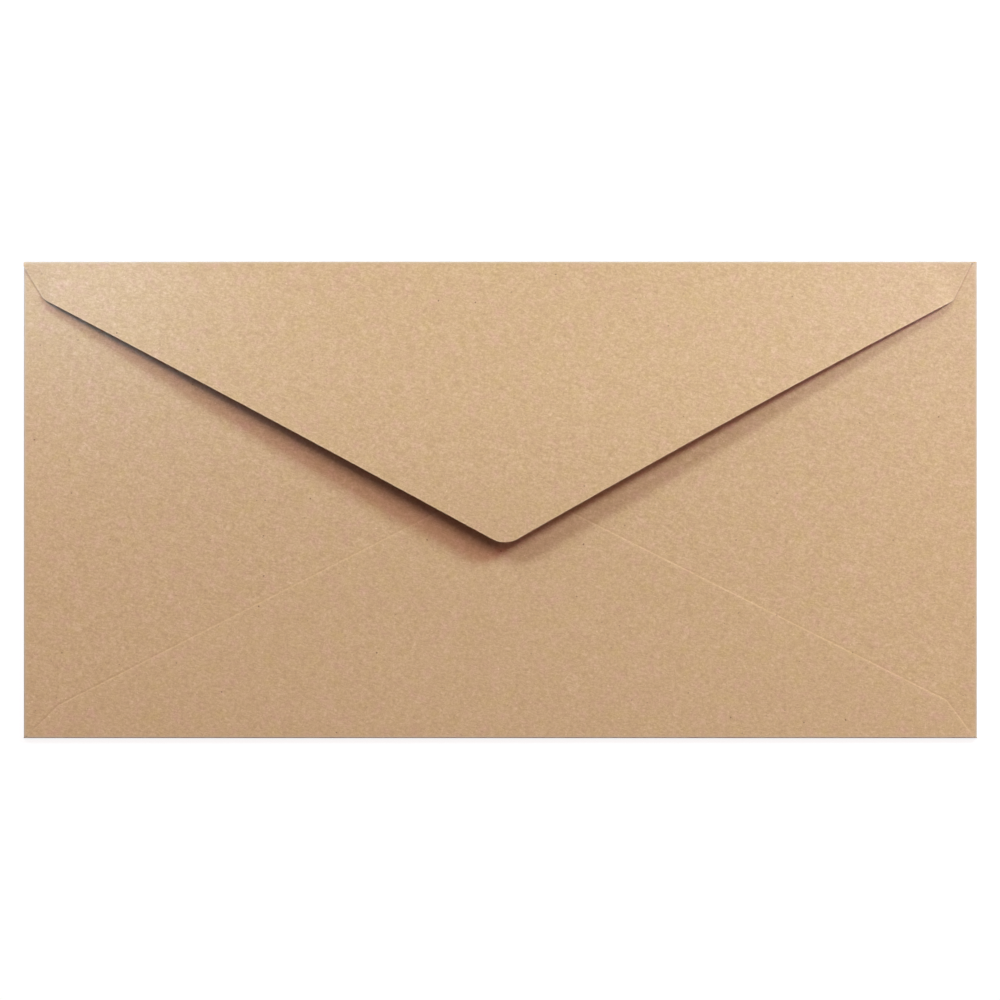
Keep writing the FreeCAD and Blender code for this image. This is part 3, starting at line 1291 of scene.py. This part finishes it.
@dataclass(frozen=True)
class SoftBox:
    """A studio lamp, aimed at the envelope.

    Attributes:
        azimuth: Degrees clockwise from the top of the photograph, seen from above.
        elevation: Degrees above the table.
        distance: Metres from the point it is aimed at.
        size: Width and height of the lamp in metres.
        light: How brightly it lights a level white sheet there, where 1 shows it as white.
        aim: The point it is aimed at, in metres.
        beam: Full angle of its beam in degrees, which a grid narrows.
    """

    name: str
    azimuth: float
    elevation: float
    distance: float
    size: tuple[float, float]
    light: tuple[float, float, float]
    aim: tuple[float, float, float] = (0.0, 0.0, 0.0)
    beam: float = 180.0

    def gathering(self) -> float:
        """How much brighter the grid makes the middle of the beam.

        It is the tangent of half the beam's angle, over that tangent less half the angle itself.
        """
        half = math.radians(self.beam) / 2
        return 1.0 if self.beam >= 180 else math.tan(half) / (math.tan(half) - half)

    def build(self) -> None:
        """Makes the lamp, with the power that gives its share on a level sheet."""
        data = bpy.data.lights.new(self.name, "AREA")
        data.shape = "RECTANGLE"
        data.size, data.size_y = self.size
        strongest = max(self.light)
        data.color = [part / strongest for part in self.light]
        up = math.radians(self.elevation)
        data.energy = strongest * (math.pi * self.distance) ** 2 / math.sin(up) / self.gathering()
        data.spread = math.radians(self.beam)
        turn = math.radians(self.azimuth)
        way = Vector((math.sin(turn) * math.cos(up), math.cos(turn) * math.cos(up), math.sin(up)))
        lamp = placed(self.name, data)
        lamp.location = Vector(self.aim) + way * self.distance
        lamp.visible_camera = False
        lamp.rotation_euler = way.to_track_quat("Z", "Y").to_euler()


@dataclass(frozen=True)
class Studio:
    """White table, soft lamps and pale surroundings."""

    lamps: tuple[SoftBox, ...] = (
        SoftBox("left_softbox", -33.0, 34.3, 1.00, (0.46, 0.20), (0.275, 0.362, 0.375)),
        SoftBox("right_softbox", 48.5, 29.2, 0.75, (0.15, 0.15), (0.285, 0.458, 0.497)),
        SoftBox("high_softbox", 27.0, 57.8, 3.5, (1.08, 1.64), (0.22, 0.03, 0.01)),
        SoftBox("side_softbox", 70.0, 27.0, 0.34, (0.10, 0.10), (0.072, 0.05, 0.055)),
        SoftBox("corner_softbox", -50.0, 40.0, 0.12, (0.05, 0.05), (0.20, 0.22, 0.30), (-0.1, 0.05, 0)),
        SoftBox("left_glow", -60.0, 50.0, 0.1, (0.04, 0.04), (0.07, 0.26, 0.55), (-0.095, 0.05, 0), 44.0),
        SoftBox("right_glow", 60.0, 50.0, 0.1, (0.04, 0.04), (0.01, 0.05, 0.25), (0.095, 0.05, 0), 44.0),
    )
    surroundings: Colour = (0.12, 0.066, 0.062, 1.0)
    table_size: float = 6.0
    table_gap: float = 0.05
    table_white: float = 0.16
    table_lift: float = 0.90

    def build(self) -> None:
        """Places the lamps, the surroundings and the table."""
        for lamp in self.lamps:
            lamp.build()
        self._world()
        self._table()

    def _world(self) -> None:
        """Makes surroundings that light the object dimly and look white to the camera."""
        world = bpy.data.worlds.new("surroundings")
        bpy.context.scene.world = world
        bench = NodeBench(world)
        dim = bench.node("Background", {"Color": self.surroundings})
        white = bench.node("Background", {"Color": WHITE})
        bench.finish(bench.node("MixShader", {0: bench.seen(), 1: dim.outputs[0], 2: white.outputs[0]}))

    def _table(self) -> None:
        """A white table that takes the object's shadow, lifted to white only for the camera."""
        corners = np.array([[-1, -1, 0], [1, -1, 0], [1, 1, 0], [-1, 1, 0]]) * self.table_size / 2
        corners[:, 2] = -self.table_gap * MM
        mesh = bpy.data.meshes.new("table")
        mesh.from_pydata(corners, [], [(0, 1, 2, 3)])
        table = placed("table", mesh)
        white = bpy.data.materials.new("white_table")
        bench = NodeBench(white)
        diffuse = bench.node("BsdfDiffuse", {"Color": (*[self.table_white] * 3, 1.0)})
        glow = bench.node("Emission", {"Strength": bench.product(bench.seen(), self.table_lift)})
        bench.finish(bench.node("AddShader", {0: diffuse.outputs[0], 1: glow.outputs[0]}))
        mesh.materials.append(white)


@dataclass(frozen=True)
class CopyCamera:
    """Camera straight above the envelope, with a long lens."""

    lens: float = 135.0
    sensor: float = 36.0
    nearest: float = 0.01
    photo_pixels: float = 1000.0
    envelope_pixels: float = 952.9
    centre_pixel: tuple[float, float] = (500.35, 499.83)

    def build(self, panel: FrontPanel, level: float) -> bpy.types.Object:
        """Places the camera so that the envelope is as large and lies where the photograph shows it.

        The picture spans the envelope's width times the photograph's pixels over the envelope's, and
        the distance is that span times the lens over the sensor.

        Args:
            panel: The front panel, whose width gives the scale.
            level: Height of the folds above the table, in metres, where the outline is seen.

        Returns:
            The camera.
        """
        pixel = panel.width * MM / self.envelope_pixels
        span = pixel * self.photo_pixels
        data = bpy.data.cameras.new("copy_camera")
        data.lens = self.lens
        data.sensor_width = self.sensor
        data.clip_start = self.nearest
        camera = placed("copy_camera", data)
        middle = self.photo_pixels / 2
        camera.location = (
            -(self.centre_pixel[0] - middle) * pixel,
            (self.centre_pixel[1] - middle) * pixel,
            level + span * self.lens / self.sensor,
        )
        bpy.context.scene.camera = camera
        return camera


def main() -> None:
    """Builds the envelope, dresses it, lights it and places the camera."""
    logging.basicConfig(level=logging.INFO, format="%(name)s: %(message)s")
    bpy.context.scene.view_settings.view_transform = "Standard"
    envelope = Envelope()
    sheet = envelope.build()
    sheet.data.materials.clear()
    sheet.data.materials.append(KraftPaper().material(BottomFlap(envelope.panel).sides()))
    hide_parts(NODE)
    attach(sheet, BODY)
    LOG.info("%s: %d faces", sheet.name, len(sheet.data.polygons))
    Studio().build()
    LOG.info("studio: lamps, surroundings and table")
    paper = envelope.panel.paper
    camera = CopyCamera().build(envelope.panel, (paper.thickness / 2 + paper.bottom_fold) * MM)
    LOG.info("%s: %.3f m above the table", camera.name, camera.location.z)


if __name__ == "__main__":
    main()
